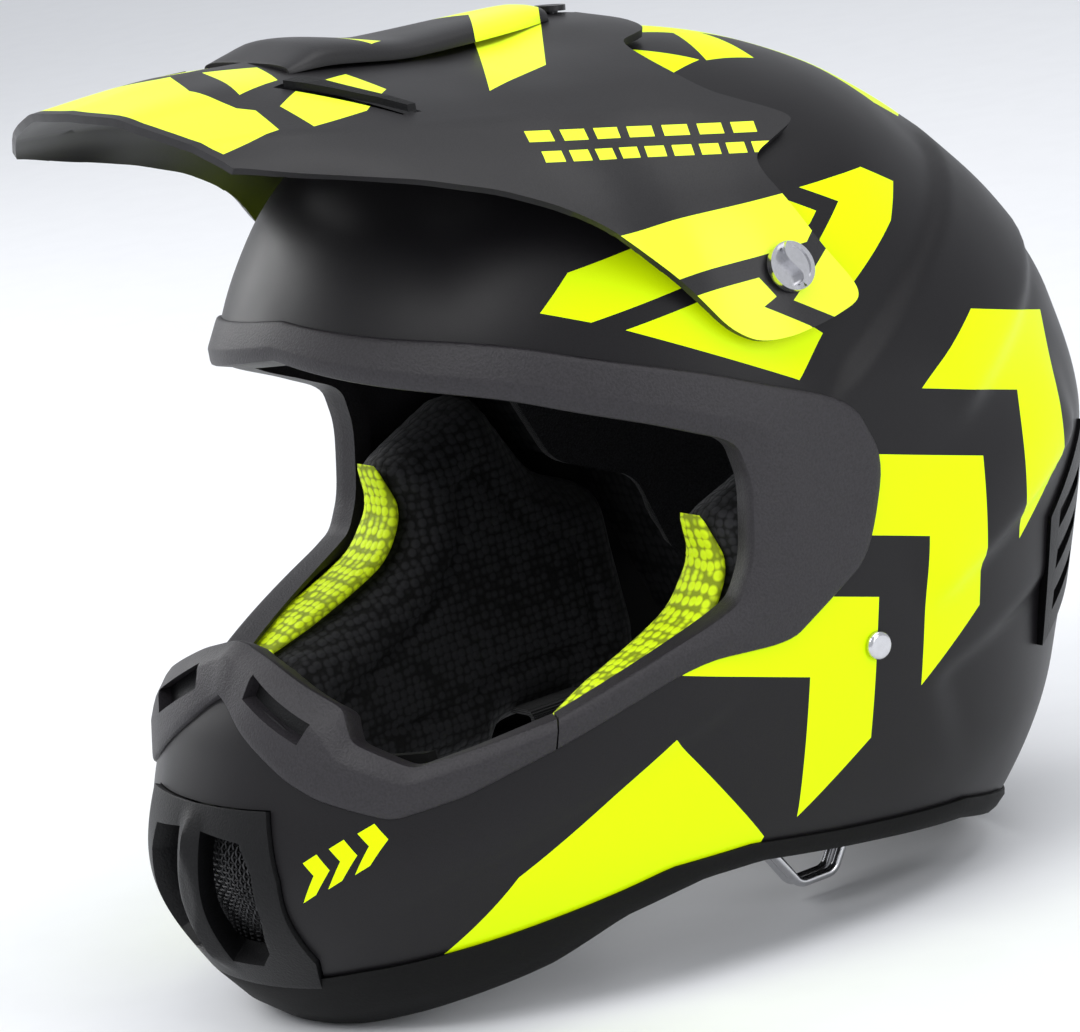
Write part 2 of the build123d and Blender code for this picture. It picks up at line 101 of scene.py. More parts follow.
front_of, rear_of, half_of = (smooth(STATIONS[:, 0], STATIONS[:, k]) for k in (1, 2, 3))


def form(turn, z, inset=0.0):
    """Point of the helmet's form. turn is 0 in front and pi behind, positive on the wearer's left."""
    turn, z = np.broadcast_arrays(np.asarray(turn, float), np.asarray(z, float))
    s, c = np.sin(turn), np.cos(turn)
    reach = np.where(c > 0, MIDDLE_Y - front_of(z), rear_of(z) - MIDDLE_Y)
    x = half_of(z) * (1 - inset / HALF_WIDTH) * np.sign(s) * np.abs(s) ** (2 / POWER)
    y = MIDDLE_Y - reach * (1 - inset / HALF_LENGTH) * np.sign(c) * np.abs(c) ** (2 / POWER)
    drop = inset / (CROWN_Z - WAIST_Z)
    return np.stack([x, y, np.where(z > WAIST_Z, z - (z - WAIST_Z) * drop, z)], -1)


def outward(turn, z):
    """Unit normal of the form."""
    turn_step, z_step = 0.02, 0.6
    along = form(np.add(turn, turn_step), z) - form(np.subtract(turn, turn_step), z)
    up = form(turn, np.add(z, z_step)) - form(turn, np.subtract(z, z_step))
    normal = np.cross(along, up)
    return normal / np.linalg.norm(normal, axis=-1, keepdims=True)


def on_form(turn, z, lift=0.0):
    """Point at a distance outside the form."""
    return form(turn, z) + outward(turn, z) * np.asarray(lift, float)[..., None]


def turn_at(y, z):
    """The turn whose point has this y at this height, on the wearer's left."""
    y, z = np.asarray(y, float), np.asarray(z, float)
    ahead = np.clip((MIDDLE_Y - y) / (MIDDLE_Y - front_of(z)), 0, 1) ** (POWER / 2)
    behind = np.clip((y - MIDDLE_Y) / (rear_of(z) - MIDDLE_Y), 0, 1) ** (POWER / 2)
    return np.where(y < MIDDLE_Y, np.arccos(ahead), math.pi - np.arccos(behind))


def turn_of_x(x, z):
    """The forward turn whose point has this x at this height."""
    x, z = np.asarray(x, float), np.asarray(z, float)
    return np.sign(x) * np.arcsin(np.clip(np.abs(x) / half_of(z), 0, 1) ** (POWER / 2))


# ------------------------------------------------------------------ materials
def put(node, **values):
    """Sets a node's inputs by name, with _ for each space."""
    for name, value in values.items():
        node.inputs[name.replace("_", " ")].default_value = value


def pattern_field(tree, place, pattern, scale):
    """Grey pattern that drives a material's colour and bump: woven threads, mesh cells or fine grain."""
    join = tree.links.new
    if pattern == "weave":
        waves = []
        for direction in ("X", "Y", "Z"):
            wave = tree.nodes.new("ShaderNodeTexWave")
            wave.bands_direction = direction
            put(wave, Scale=scale, Distortion=0.6)
            join(place, wave.inputs["Vector"])
            waves.append(wave.outputs["Fac"])
        crossing = tree.nodes.new("ShaderNodeMath")
        crossing.operation = "MULTIPLY"
        join(waves[0], crossing.inputs[0])
        join(waves[1], crossing.inputs[1])
        highest = tree.nodes.new("ShaderNodeMath")
        highest.operation = "MAXIMUM"
        join(crossing.outputs[0], highest.inputs[0])
        join(waves[2], highest.inputs[1])
        return highest.outputs[0]
    if pattern == "cells":
        cells = tree.nodes.new("ShaderNodeTexVoronoi")
        put(cells, Scale=scale, Randomness=0.35)
        join(place, cells.inputs["Vector"])
        return cells.outputs["Distance"]
    grain = tree.nodes.new("ShaderNodeTexNoise")
    put(grain, Scale=scale, Detail=4)
    join(place, grain.inputs["Vector"])
    return grain.outputs["Fac"]


BUMP_HEIGHT = 0.0006         # m, for a bump of full strength
CLOUD_SCALE = 28.0           # of the slow unevenness in roughness
RAMP_START, RAMP_END = 0.3, 0.62
CELL_START = 0.42            # where the ramp starts for mesh cells, whose threads are narrow


def material(name, colour, rough, metal=0.0, sheen=0.0, pattern="grain", scale=900.0, depth=0.1, tint=0.25,
             rough_spread=0.08, second=None, emission=0.0, shine=0.5):
    """Procedural surface: a pattern in its colour and bump, uneven roughness, and for some a painted glow."""
    mat = bpy.data.materials.new(name)
    mat.use_nodes = True
    tree = mat.node_tree
    join = tree.links.new
    shader = tree.nodes["Principled BSDF"]
    put(shader, Metallic=metal, Sheen_Weight=sheen, Sheen_Roughness=0.5, Specular_IOR_Level=shine)
    # painted glow: emission makes the colour shine by itself, though the part is no lamp
    if emission:
        put(shader, Emission_Color=(*colour, 1), Emission_Strength=emission)
    place = tree.nodes.new("ShaderNodeTexCoord").outputs["Object"]
    field = pattern_field(tree, place, pattern, scale)

    low, high = [c * (1 - tint) for c in colour], [min(c * (1 + tint * 0.6), 1) for c in colour]
    if second is not None:
        low, high = second, colour
    start = RAMP_START
    if pattern == "cells":
        low, high = high, low
        start = CELL_START
    ramp = tree.nodes.new("ShaderNodeValToRGB")
    for stop, position, shade in zip(ramp.color_ramp.elements, (start, RAMP_END), (low, high)):
        stop.position = position
        stop.color = (*shade, 1)
    join(field, ramp.inputs["Fac"])
    join(ramp.outputs["Color"], shader.inputs["Base Color"])

    cloud = tree.nodes.new("ShaderNodeTexNoise")
    put(cloud, Scale=CLOUD_SCALE, Detail=3)
    join(place, cloud.inputs["Vector"])
    spread = tree.nodes.new("ShaderNodeMapRange")
    put(spread, To_Min=rough - rough_spread, To_Max=rough + rough_spread)
    join(cloud.outputs["Fac"], spread.inputs["Value"])
    join(spread.outputs["Result"], shader.inputs["Roughness"])

    bump = tree.nodes.new("ShaderNodeBump")
    put(bump, Strength=depth, Distance=BUMP_HEIGHT)
    bump.invert = pattern == "cells"
    join(field, bump.inputs["Height"])
    join(bump.outputs["Normal"], shader.inputs["Normal"])
    return mat


PAINT = material("satin_paint", (0.0072, 0.0066, 0.0076), 0.40, scale=2600, depth=0.06, shine=0.24)
# the yellow paints carry a painted glow: emission, standing in for the fluorescent pigment's brightness,
# though they are no lamps
YELLOW = material("bright_paint", (0.70, 0.95, 0.0), 0.40, scale=2600, depth=0.03, tint=0.02,
                  emission=0.10, shine=0.12)
PEAK_BLACK = material("peak_plastic", (0.0100, 0.0093, 0.0106), 0.42, scale=1700, depth=0.10, shine=0.38)
# the peak's yellow is paler and whiter than the shell's: painted highlight where the glossier peak catches
# more light; its lower roughness is its own
PEAK_YELLOW = material("peak_bright", (0.76, 0.96, 0.03), 0.34, scale=1700, depth=0.04, tint=0.02,
                       emission=0.10, shine=0.3)
TRIM = material("textured_plastic", (0.0180, 0.0160, 0.0190), 0.50, scale=1300, depth=0.35, tint=0.35,
                shine=0.40)
TRIM_DARK = material("textured_plastic_dark", (0.0045, 0.0045, 0.005), 0.45, scale=1300, depth=0.3, tint=0.3,
                     shine=0.2)
RUBBER = material("edge_rubber", (0.003, 0.003, 0.003), 0.6, scale=900, depth=0.2, shine=0.14)
LINER = material("napped_fabric", (0.014, 0.014, 0.0155), 0.95, sheen=0.2, scale=1500, depth=0.9, tint=0.6,
                 shine=0.1)
AIR_MESH = material("air_mesh", (0.022, 0.022, 0.024), 0.8, sheen=0.15, pattern="cells", scale=330, depth=1.0,
                    second=(0.002, 0.002, 0.002), shine=0.2)
# the bright mesh carries a painted glow: emission, though it is no lamp
BRIGHT_MESH = material("bright_mesh", (0.70, 0.92, 0.01), 0.6, pattern="cells", scale=300, depth=1.0,
                       second=(0.22, 0.28, 0.01), emission=0.06, shine=0.2)
WIRE = material("wire", (0.05, 0.05, 0.052), 0.4, metal=0.8, scale=800, depth=0.1)
FOAM = material("bead_foam", (0.030, 0.030, 0.032), 0.8, pattern="cells", scale=260, depth=0.6,
                second=(0.012, 0.012, 0.013), shine=0.2)
METAL = material("plated_metal", (0.60, 0.60, 0.62), 0.20, metal=1.0, scale=700, depth=0.05, tint=0.05,
                 rough_spread=0.05)
BLACK_METAL = material("black_metal", (0.03, 0.03, 0.032), 0.35, metal=0.7, scale=700, depth=0.08)
WEBBING = material("webbing", (0.012, 0.012, 0.013), 0.85, sheen=0.2, pattern="weave", scale=420, depth=0.8,
                   tint=0.5, shine=0.2)
SNAP = material("snap_plastic", (0.02, 0.02, 0.02), 0.3, scale=900, depth=0.08)


# ------------------------------------------------------------------ mesh tools
MERGE, SLIVER = 0.06, 0.03   # corners and edges closer or shorter than this are merged, in mm
MARKED = 1                   # slot of the second colour
HIDDEN = 2                   # a sheet's back takes the material this many slots on, so it has four slots
BEVEL_ANGLE = math.radians(50)


def piece(name, bm, mats, body, replaces, smooth_angle=35.0, thickness=0.0, bevel=0.0, offset=-1.0,
          hidden=0):
    """Turns a bmesh drawn in mm into a finished object that rides on a body."""
    bmesh.ops.remove_doubles(bm, verts=bm.verts[:], dist=MERGE)
    bmesh.ops.dissolve_degenerate(bm, edges=bm.edges[:], dist=SLIVER)
    mesh = bpy.data.meshes.new(name)
    bm.transform(Matrix.Scale(MM, 4))
    bm.to_mesh(mesh)
    bm.free()
    obj = bpy.data.objects.new(name, mesh)
    bpy.context.collection.objects.link(obj)
    for mat in mats:
        mesh.materials.append(mat)
    if thickness:
        wall = obj.modifiers.new("wall", "SOLIDIFY")
        wall.thickness = thickness * MM
        wall.offset = offset
        wall.material_offset = hidden
        wall.material_offset_rim = hidden
    if bevel:
        edge = obj.modifiers.new("edge", "BEVEL")
        edge.width = bevel * MM
        edge.segments = 2
        edge.limit_method = "ANGLE"
        edge.angle_limit = BEVEL_ANGLE
        edge.use_clamp_overlap = True
    apply_modifiers(obj)
    for polygon in obj.data.polygons:
        polygon.use_smooth = True
    obj.data.set_sharp_from_angle(angle=math.radians(smooth_angle))
    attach(obj, body)
    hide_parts(*replaces)
    return obj


def apply_modifiers(obj):
    """Bakes an object's modifiers into its mesh."""
    depsgraph = bpy.context.evaluated_depsgraph_get()
    done = bpy.data.meshes.new_from_object(obj.evaluated_get(depsgraph))
    obj.modifiers.clear()
    obj.data = done


def sheet_grid(points, closed_across=False, closed_along=False):
    """Mesh of quads through a 2-D array of points, (rows, columns, 3)."""
    bm = bmesh.new()
    rows, columns = points.shape[:2]
    verts = [[bm.verts.new(points[i, j]) for j in range(columns)] for i in range(rows)]
    for i in range(rows if closed_along else rows - 1):
        for j in range(columns if closed_across else columns - 1):
            a, b = verts[i], verts[(i + 1) % rows]
            k = (j + 1) % columns
            bm.faces.new((a[j], a[k], b[k], b[j]))
    bm.normal_update()
    return bm, verts


def tube(points):
    """Closed solid through rings of points, with a flat face at each end."""
    bm, verts = sheet_grid(points, closed_across=True)
    bm.faces.new(verts[0])
    bm.faces.new(verts[-1])
    bmesh.ops.recalc_face_normals(bm, faces=bm.faces)
    return bm


def anywhere(centre):
    return True


NEARBY = 8.0                 # mm round an outline in which faces may be cut
OVERRUN = 0.3                # mm that a cut runs past the ends of its line
TOUCH, CUT = 1e-5, 1e-4      # mm, tolerances of the test and of the cut


def score(bm, outline, axes, keep=anywhere):
    """Cuts edges into the mesh along an outline drawn in the plane of two axes."""
    points = [np.array(p, float) for p in outline]
    low, high = np.min(points, 0) - NEARBY, np.max(points, 0) + NEARBY
    i, j = axes
    bm.faces.index_update()
    near = set()
    for face in bm.faces:
        centre = face.calc_center_median()
        if low[0] < centre[i] < high[0] and low[1] < centre[j] < high[1] and keep(centre):
            near.add(face)
    for p, q in zip(points, points[1:] + points[:1]):
        length = float(np.linalg.norm(q - p))
        (px, py), (wx, wy) = map(float, p), map(float, (q - p) / length)
        faces = []
        for face in near:
            corners = [v.co for v in face.verts]
            across = [(c[j] - py) * wx - (c[i] - px) * wy for c in corners]
            along = [(c[i] - px) * wx + (c[j] - py) * wy for c in corners]
            if min(across) > TOUCH or max(across) < -TOUCH:
                continue
            if max(along) < -OVERRUN or min(along) > length + OVERRUN:
                continue
            faces.append(face)
        faces.sort(key=lambda f: f.index)
        edges = dict.fromkeys(e for f in faces for e in f.edges)
        verts = dict.fromkeys(v for f in faces for v in f.verts)
        origin, normal = Vector((0, 0, 0)), Vector((0, 0, 0))
        origin[i], origin[j] = px, py
        normal[i], normal[j] = -wy, wx
        made = bmesh.ops.bisect_plane(bm, geom=list(verts) + list(edges) + faces, dist=CUT, plane_co=origin,
                                      plane_no=normal)
        near.difference_update(faces)
        near.update(g for g in made["geom"] if isinstance(g, bmesh.types.BMFace))
        bm.faces.index_update()


def within(outline, x, y):
    """Even-odd test of one point in an outline."""
    odd = False
    for (ax, ay), (bx, by) in zip(outline, outline[1:] + outline[:1]):
        if (ay > y) != (by > y) and x < (bx - ax) * (y - ay) / (by - ay) + ax:
            odd = not odd
    return odd


def faces_in(bm, outline, axes, keep):
    """Faces whose middle lies in an outline."""
    found = []
    for face in bm.faces:
        centre = face.calc_center_median()
        if keep(centre) and within(outline, centre[axes[0]], centre[axes[1]]):
            found.append(face)
    return found


def paint(bm, outline, axes, index, keep=anywhere):
    """Gives the surface inside an outline the material in another slot."""
    score(bm, outline, axes, keep)
    for face in faces_in(bm, outline, axes, keep):
        face.material_index = index


def cut_away(bm, outline, axes, keep=anywhere, outside=False):
    """Deletes the surface inside an outline, or outside it."""
    score(bm, outline, axes, keep)
    inside = set(faces_in(bm, outline, axes, keep))
    doomed = [f for f in bm.faces if keep(f.calc_center_median()) and (f not in inside) == outside]
    bmesh.ops.delete(bm, geom=doomed, context="FACES")


def recess(bm, outline, axes, depth, keep, index):
    """Pushes the surface inside an outline inwards, with upright walls, all in another slot's material."""
    score(bm, outline, axes, keep)
    faces = faces_in(bm, outline, axes, keep)
    mean = sum((f.normal for f in faces), Vector()).normalized()
    made = bmesh.ops.extrude_face_region(bm, geom=faces)
    moved = [v for v in made["geom"] if isinstance(v, bmesh.types.BMVert)]
    bmesh.ops.translate(bm, verts=moved, vec=-mean * depth)
    bmesh.ops.delete(bm, geom=faces, context="FACES")
    for part in made["geom"]:
        if isinstance(part, bmesh.types.BMFace):
            part.material_index = index


def flipped(outline, flip):
    """An outline, or its mirror image when flip is -1."""
    return [(flip * x, y) for x, y in outline]


def ease(x):
    """Smooth step from 0 to 1."""
    x = np.clip(x, 0, 1)
    return x * x * (3 - 2 * x)


def power_wave(value, power):
    """A sine or cosine raised to a power, with its sign kept: below 1 it squares a round section."""
    return math.copysign(abs(value) ** power, value)


# ------------------------------------------------------------------ outer shell
# side-view start and end of each styling crease, its height in mm and how wide its steep side is
CREASES = [((6, 168), (118, 238), -2.8, 6.5), ((36, 96), (136, 134), 3.2, 7.0),
           ((-150, 44), (-26, 92), 1.8, 6.0), ((126, 94), (34, 72), -2.2, 7.0),
           ((60, 150), (150, 200), 2.0, 8.0)]
CREASE_FROM, CREASE_RISE = 30, 25      # x where the creases begin, and the width over which they grow
CREASE_REACH = 42.0          # width of a crease's gentle side
CREASE_ENDS = 0.16           # share of its length over which a crease fades in and out


def relief(points):
    """Height of the shell's styling creases along the normal, in mm."""
    y, z = points[..., 1], points[..., 2]
    on_side = ease((np.abs(points[..., 0]) - CREASE_FROM) / CREASE_RISE)
    lift = np.zeros_like(y)
    for (ay, az), (by, bz), height, width in CREASES:
        way = np.array([by - ay, bz - az], float)
        length = np.linalg.norm(way)
        way /= length
        along = (y - ay) * way[0] + (z - az) * way[1]
        across = (y - ay) * -way[1] + (z - az) * way[0]
        fade = ease(along / (CREASE_ENDS * length)) * ease((length - along) / (CREASE_ENDS * length))
        lift += height * fade * ease(0.5 + across / width) * ease(1 - across / CREASE_REACH) * on_side
    return lift


BAND_START, BAND_WAY = np.array([-127.0, 27.0]), np.array([0.850, 0.527])


def band(u, v):
    """Side-view place of a point in the long slanted band of graphics."""
    normal = np.array([-BAND_WAY[1], BAND_WAY[0]])
    return tuple(BAND_START + u * BAND_WAY + v * normal)


def chevron(u, width, low, high, lean):
    """Arrow-shaped mark in the band, from u on."""
    middle = (low + high) / 2
    return [band(u, low), band(u + width, low), band(u + width + lean, middle), band(u + width, high),
            band(u, high), band(u + lean, middle)]


def shell_grid(turns, step, inset=0.0, bottom=-4.0):
    """Rows of points up the form, evenly spaced along its profile, with their turns and heights."""
    samples = 400
    z = np.linspace(bottom, CROWN_Z, samples)
    run = np.concatenate([[0], np.cumsum(np.hypot(np.diff(z), np.diff(half_of(z))))])
    levels = np.interp(np.arange(0, run[-1], step), run, z)
    levels = np.append(levels[:-1], CROWN_Z)
    turn = np.linspace(-math.pi, math.pi, turns, endpoint=False)
    return form(turn[None, :], levels[:, None], inset), turn, levels


# painted marks on both sides of the shell: the long band, then the marks beside the peak
SIDE_MARKS = [
    [(-127, 27), (-108, 50), (-58, 82), (-30, 42), (-38, 30), (-110, 16)],
    chevron(102, 34, -42, 24, 30), chevron(160, 34, -44, 26, 32), chevron(222, 34, -44, 26, 32),
    [(-65, 216), (-54, 226), (-35, 229.5), (-24, 232), (-12, 221), (-27, 215.5), (-54, 211)],
    [(-46, 207), (-24, 210.5), (-8, 213), (6, 200), (15.5, 191.7), (2, 180.5)],
    [(25, 234.7), (53, 234.5), (65.5, 227), (56, 217), (32, 203.6), (16, 206), (24, 219), (37, 227.6)],
    [(10, 236), (19, 232), (27, 227), (22.6, 224), (12, 220), (0, 228)]]
# top-view half marks on the crown, and the first of three small marks on the chin in front view
CROWN_MARKS = [
    [(0, 20), (20, 26), (30, 40), (58, 31), (57, 50), (26, 53), (30, 66), (60, 92), (56, 104), (0, 150)],
    [(35, 13), (57, 29), (61, 14)]]
CHIN_MARK = [(44, 51), (48, 53.5), (52.5, 61), (49, 66), (45, 63.5), (48, 59.5)]
CHIN_MARKS, CHIN_MARK_STEP = 3, (7.5, 4.0)
WALL = 3.5                   # the shell's thickness


def on_sides(centre):
    return abs(centre.x) > 35


def on_crown(centre):
    return centre.z > 205


def on_chin(centre):
    return centre.y < -90 and 40 < abs(centre.x) < 80 and centre.z < 90


def outer_shell():
    points, turn, levels = shell_grid(turns=300, step=2.6)
    points = points + outward(turn[None, :], levels[:, None]) * relief(points)[..., None]
    bm, verts = sheet_grid(points, closed_across=True)
    bm.faces.new(verts[-1])
    bm.normal_update()
    cut_away(bm, OPENING, SIDE)
    below = [(y, z + TRIM_FLOOR) for y, z in RIM] + [(210, -60), (-210, -60)]
    cut_away(bm, below, SIDE)
    cut_away(bm, MOUTH, FRONT, keep=lambda c: c.y < -100)
    for outline in SIDE_MARKS:
        paint(bm, outline, SIDE, MARKED, on_sides)
    for flip in (1, -1):
        for outline in CROWN_MARKS:
            paint(bm, flipped(outline, flip), TOP, MARKED, on_crown)
        for k in range(CHIN_MARKS):
            mark = [(x + CHIN_MARK_STEP[0] * k, z + CHIN_MARK_STEP[1] * k) for x, z in CHIN_MARK]
            paint(bm, flipped(mark, flip), FRONT, MARKED, on_chin)
    return piece("shell_painted", bm, [PAINT, YELLOW, PAINT, PAINT], "helmet",
                 ("outer_shell",), thickness=WALL, hidden=HIDDEN, smooth_angle=32)


# ------------------------------------------------------------------ eye-port trim and nose guard
RING = [  # side-view pairs, outer seam and inner edge, from the brow round to the nose
    ((-210, 217), (-210, 206)), ((-78, 209), (-82, 194)), ((-30, 190), (-48, 179)), ((15, 171), (-24, 168)),
    ((24, 150), (-21, 154)), ((13, 121), (-25, 130)), ((-5, 110), (-31, 119)), ((-17, 103), (-40, 115)),
    ((-47, 104), (-54, 110)), ((-92, 88), (-90, 97)), ((-118, 79), (-113, 92)), ((-136, 75), (-128, 89)),
    ((-146, 85), (-138, 98)), ((-151, 98), (-137, 109)), ((-210, 110), (-210, 124))]
SPLIT = 9                    # the pair where the trim ends and the nose guard begins
# front-view pairs that carry the guard on to the middle, (x, z)
NOSE = [((48, 83), (56, 98)), ((38, 88.5), (51, 108)), ((15, 101.5), (20, 119.5)), ((0, 110), (0, 124))]


def rounded(rows, share=0.3, bend=5, longest=4.0, widest=0.04):
    """Rounds the corners of a path of rows (turn, z, turn, z) and divides it finely, in mm and radians."""
    rows = [np.array(r, float) for r in rows]
    path = [rows[0]]
    for before, here, after in zip(rows, rows[1:], rows[2:]):
        start, end = here + (before - here) * share, here + (after - here) * share
        for step in range(bend + 1):
            t = step / bend
            path.append(start * (1 - t) ** 2 + 2 * here * t * (1 - t) + end * t ** 2)
    path.append(rows[-1])
    fine = [path[0]]
    for a, b in zip(path, path[1:]):
        pieces = max(1, int(np.ceil(np.abs(b - a)[[1, 3]].max() / longest)),
                     int(np.ceil(np.abs(b - a)[[0, 2]].max() / widest)))
        fine += [a + (b - a) * k / pieces for k in range(1, pieces + 1)]
    return np.array(fine)


def side_row(pair):
    (outer_y, outer_z), (inner_y, inner_z) = pair
    return float(turn_at(outer_y, outer_z)), outer_z, float(turn_at(inner_y, inner_z)), inner_z


def front_row(pair):
    (outer_x, outer_z), (inner_x, inner_z) = pair
    return float(turn_of_x(outer_x, outer_z)), outer_z, float(turn_of_x(inner_x, inner_z)), inner_z


# the ring's cross-section: share of the way from outer seam to inner edge, and mm outside the form
RING_PROFILE = [(-0.07, -2.5), (-0.07, 0.5), (-0.055, 1.1), (-0.02, 1.5), (0.06, 1.7), (0.60, 2.9),
                (0.66, 2.9), (0.90, 1.9), (0.98, 1.3), (1.0, 0.3), (1.0, -4), (1.0, -9), (0.8, -9),
                (0.75, -3.8)]


def ring_mesh(path, profile):
    """Sweeps a cross-section along a path of rows."""
    u = np.array([p[0] for p in profile])
    lift = np.array([p[1] for p in profile])
    turn = path[:, 0:1] * (1 - u) + path[:, 2:3] * u
    z = path[:, 1:2] * (1 - u) + path[:, 3:4] * u
    return tube(on_form(turn, z, np.broadcast_to(lift, turn.shape)))


def far_half(path):
    """The same path on the other side, run backwards."""
    other = path[::-1].copy()
    other[:, [0, 2]] *= -1
    return other


def eyeport_trim():
    half = rounded([side_row(pair) for pair in RING[:SPLIT + 1]])
    bm = ring_mesh(np.concatenate([far_half(half)[:-1], half]), RING_PROFILE)
    return piece("eyeport_trim_moulded", bm, [TRIM], "helmet", ("eyeport_trim",),
                 smooth_angle=40)


GUARD_GAP = 0.1              # the guard's gap to the trim, as a share of the path's first step
CROWNING = 0.9               # how much fuller the guard's cross-section is than the trim's
RIDGE, RIDGE_HALF = 1.2, 5.0 # height and half width of the fold down its middle
GUARD_WINDOW = [(14, 110), (16, 117), (45, 104.5), (41, 98.5)]


def nose_guard():
    half = rounded([side_row(pair) for pair in RING[SPLIT:SPLIT + 3]] + [front_row(pair) for pair in NOSE],
                   share=0.16)
    half[0] += (half[1] - half[0]) * GUARD_GAP
    path = np.concatenate([half[:-1], far_half(half)])
    profile = [(u, d + (CROWNING * math.sin(math.pi * u) if 0 < u < 1 and d > 0 else 0))
               for u, d in RING_PROFILE]
    bm = ring_mesh(path, profile)
    for v in bm.verts:
        if v.co.y < -135:
            v.co.y -= RIDGE * max(0.0, 1 - abs(v.co.x) / RIDGE_HALF)
    # the sunk vent windows take the darker plastic in the second slot: painted shade inside the recesses
    for flip in (1, -1):
        recess(bm, flipped(GUARD_WINDOW, flip), FRONT, 5.0, keep=lambda c: c.y < -136, index=MARKED)
    return piece("nose_guard_moulded", bm, [TRIM, TRIM_DARK], "helmet", ("nose_guard",),
                 smooth_angle=30)


# ------------------------------------------------------------------ chin vent
def front_patch(outline, holes, step, lift):
    """Flat grid in front view, cut to an outline, then laid on the form."""
    xs = np.arange(min(x for x, _ in outline) - step, max(x for x, _ in outline) + 2 * step, step)
    zs = np.arange(min(z for _, z in outline) - step, max(z for _, z in outline) + 2 * step, step)
    grid = np.array([[(x, 0.0, z) for x in xs] for z in zs])
    bm, _ = sheet_grid(grid)
    cut_away(bm, outline, FRONT, outside=True)
    for hole in holes:
        cut_away(bm, hole, FRONT)
    for v in bm.verts:
        turn = turn_of_x(v.co.x, v.co.z)
        v.co = Vector(on_form(turn, v.co.z, lift(v.co.x, v.co.z)))
    bmesh.ops.recalc_face_normals(bm, faces=bm.faces)
    if bm.faces[:][0].normal.y > 0:
        bmesh.ops.reverse_faces(bm, faces=bm.faces)
    return bm


VENT_WINDOW = [(6, 71), (24, 69), (29, 60), (30, 46), (26, 34), (20, 29), (6, 29)]
VENT_SHARE_X, VENT_SHARE_Z, VENT_Z = 0.99, 0.985, 50   # its size in the hole, and its middle height
VENT_LOW, VENT_HIGH, VENT_FADE = 22, 79, 12            # the middle bar's ends, and how far each fades out
VENT_LIFT, BAR_LIFT, BAR_HALF = 2.0, 3.0, 6.5
VENT_FRONT_Y = -174.0                                  # foremost y of the whole helmet


def mouth_vent():
    outline = [(x * VENT_SHARE_X, VENT_Z + (z - VENT_Z) * VENT_SHARE_Z) for x, z in MOUTH]
    windows = [flipped(VENT_WINDOW, flip) for flip in (1, -1)]

    def lift(x, z):
        ends = float(ease((z - VENT_LOW) / VENT_FADE) * ease((VENT_HIGH - z) / VENT_FADE))
        return VENT_LIFT + BAR_LIFT * ends * max(0.0, 1 - abs(x) / BAR_HALF)

    bm = front_patch(outline, windows, 1.6, lift)
    for v in bm.verts:
        v.co.y = max(v.co.y, VENT_FRONT_Y)
    return piece("mouth_vent_moulded", bm, [TRIM_DARK], "helmet", ("mouth_vent",),
                 thickness=9.0, bevel=0.9, smooth_angle=35)


WIRE_RADIUS, WIRE_PITCH = 0.36, 2.2
WIRE_DEPTH, WIRE_WAVE = -10.5, 0.35    # behind the form, and the weave's height
SCREEN_HALF, SCREEN_LOW, SCREEN_HIGH = 33, 23, 75


def add_wire(bm, line, across):
    """Square wire along a line of points; across holds its two cross directions."""
    corners = [(a * across[0] + b * across[1]) * WIRE_RADIUS for a, b in ((1, 0), (0, 1), (-1, 0), (0, -1))]
    rings = [[bm.verts.new(point + corner) for corner in corners] for point in line]
    for a, b in zip(rings, rings[1:]):
        for j in range(4):
            k = (j + 1) % 4
            bm.faces.new((a[j], a[k], b[k], b[j]))
    bm.faces.new(rings[0])
    bm.faces.new(rings[-1][::-1])


def mouth_screen():
    """Woven wire: upright and level wires pass over and under each other."""
    along_x, along_y, along_z = np.eye(3)
    xs = np.arange(-SCREEN_HALF, SCREEN_HALF + 0.1, WIRE_PITCH)
    zs = np.arange(SCREEN_LOW, SCREEN_HIGH + 0.1, WIRE_PITCH)
    half = np.interp(zs, (SCREEN_LOW, 34, 58, SCREEN_HIGH), (30, 34, 34, 31))
    bm = bmesh.new()
    for i, x in enumerate(xs):
        line = [on_form(turn_of_x(x, z), z, WIRE_DEPTH + WIRE_WAVE * (-1) ** (i + j))
                for j, z in enumerate(zs) if abs(x) <= half[j]]
        add_wire(bm, line, (along_x, along_y))
    for j, z in enumerate(zs):
        line = [on_form(turn_of_x(x, z), z, WIRE_DEPTH - WIRE_WAVE * (-1) ** (i + j))
                for i, x in enumerate(xs) if abs(x) <= half[j]]
        add_wire(bm, line, (along_y, along_z))
    bmesh.ops.recalc_face_normals(bm, faces=bm.faces)
    return piece("mouth_screen_woven", bm, [WIRE], "helmet", ("mouth_screen",))


def chin_foam():
    outline = [(-57, 84), (57, 84), (60, 60), (58, 16), (-58, 16), (-60, 60)]
    window = [(-24, 42), (24, 42), (24, 70), (-24, 70)]
    bm = front_patch(outline, [window], 3.0, lambda x, z: -14.5)
    return piece("chin_foam_moulded", bm, [FOAM], "helmet", ("chin_foam",), thickness=15,
                 bevel=1.5, smooth_angle=45)


